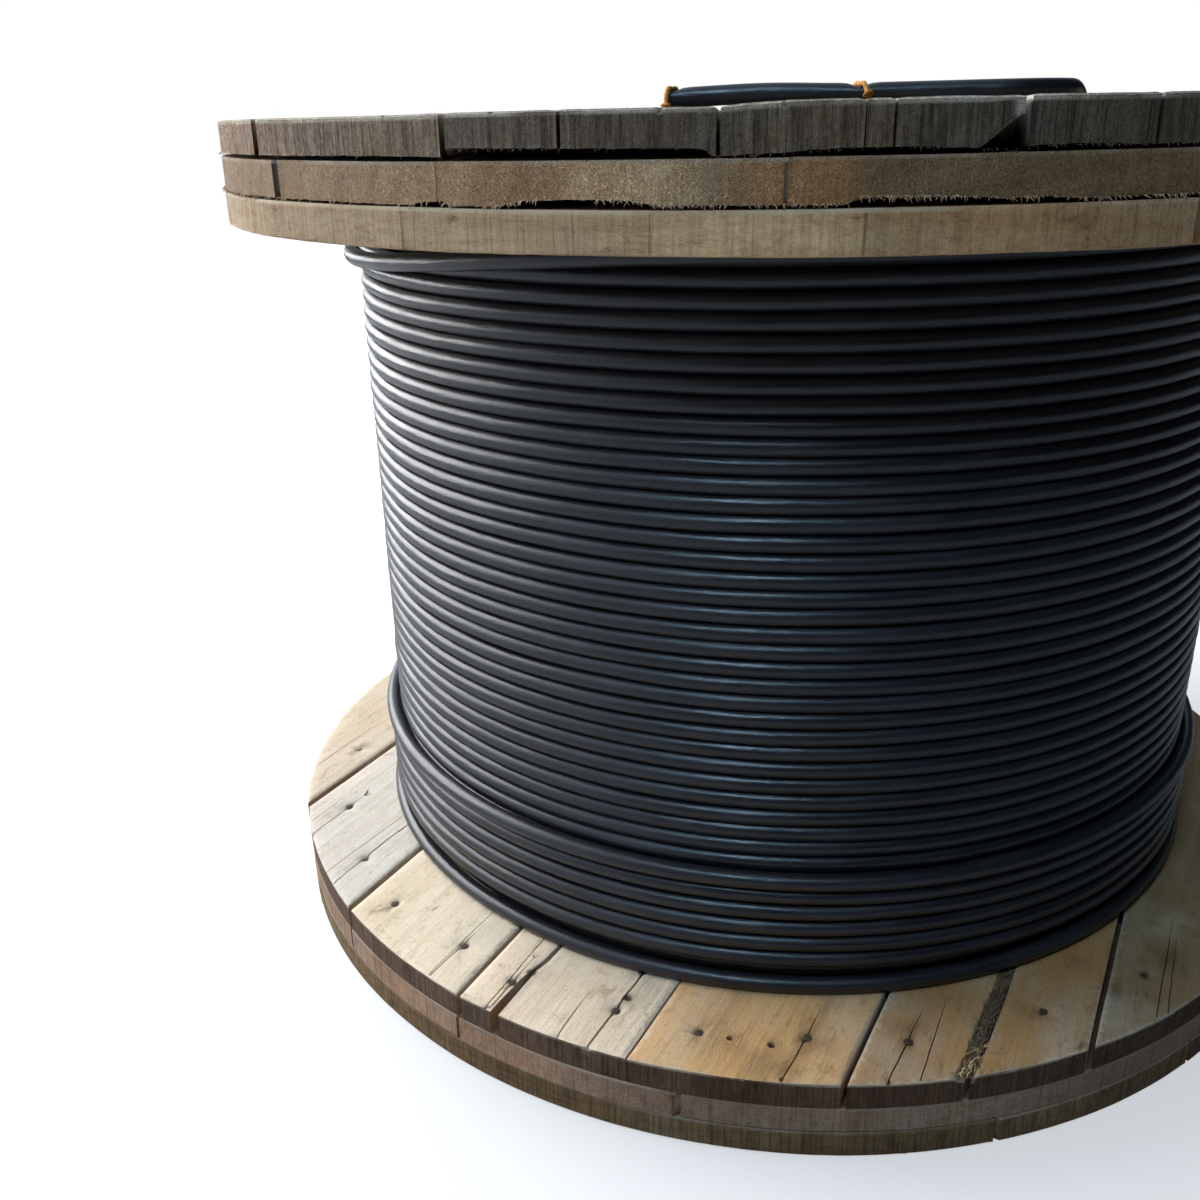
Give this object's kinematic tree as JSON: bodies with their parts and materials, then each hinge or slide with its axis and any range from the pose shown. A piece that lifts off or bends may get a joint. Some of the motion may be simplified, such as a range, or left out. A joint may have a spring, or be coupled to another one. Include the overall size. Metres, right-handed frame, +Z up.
{
  "type": "wooden cable drum",
  "caption": "Round wooden cable drum with plank flanges, wound full with black sheathed cable, its inner end nailed to the upper flange.",
  "frame": {"origin": "centre of the lower flange's resting face, on the drum's axis", "axes": "+Z up along the drum's axis; the cable end's clamped stretch lies towards -Y on the upper flange"},
  "size_m": [1, 1, 0.7416],
  "materials": {
    "weathered_wood": "rough sawn, grey-brown with weather",
    "rim_wood": "rough sawn, tan",
    "pale_wood": "rough sawn, pale, knotted",
    "plated_steel": "dull zinc plated",
    "cable_sheath": "satin black sheath",
    "rusty_nail": "rusted steel"
  },
  "bodies": {
    "root": {"lower_outer_boards": "weathered_wood", "lower_middle_boards": "rim_wood", "lower_inner_boards": "pale_wood", "upper_inner_boards": "rim_wood", "upper_middle_boards": "rim_wood", "upper_outer_boards": "weathered_wood", "barrel_staves": "pale_wood", "tie_rods": "plated_steel", "tie_washers": "plated_steel", "tie_nuts": "plated_steel", "cable_winding": "cable_sheath", "cable_end": "cable_sheath", "clamp_nails": "rusty_nail"}
  },
  "joints": []
}
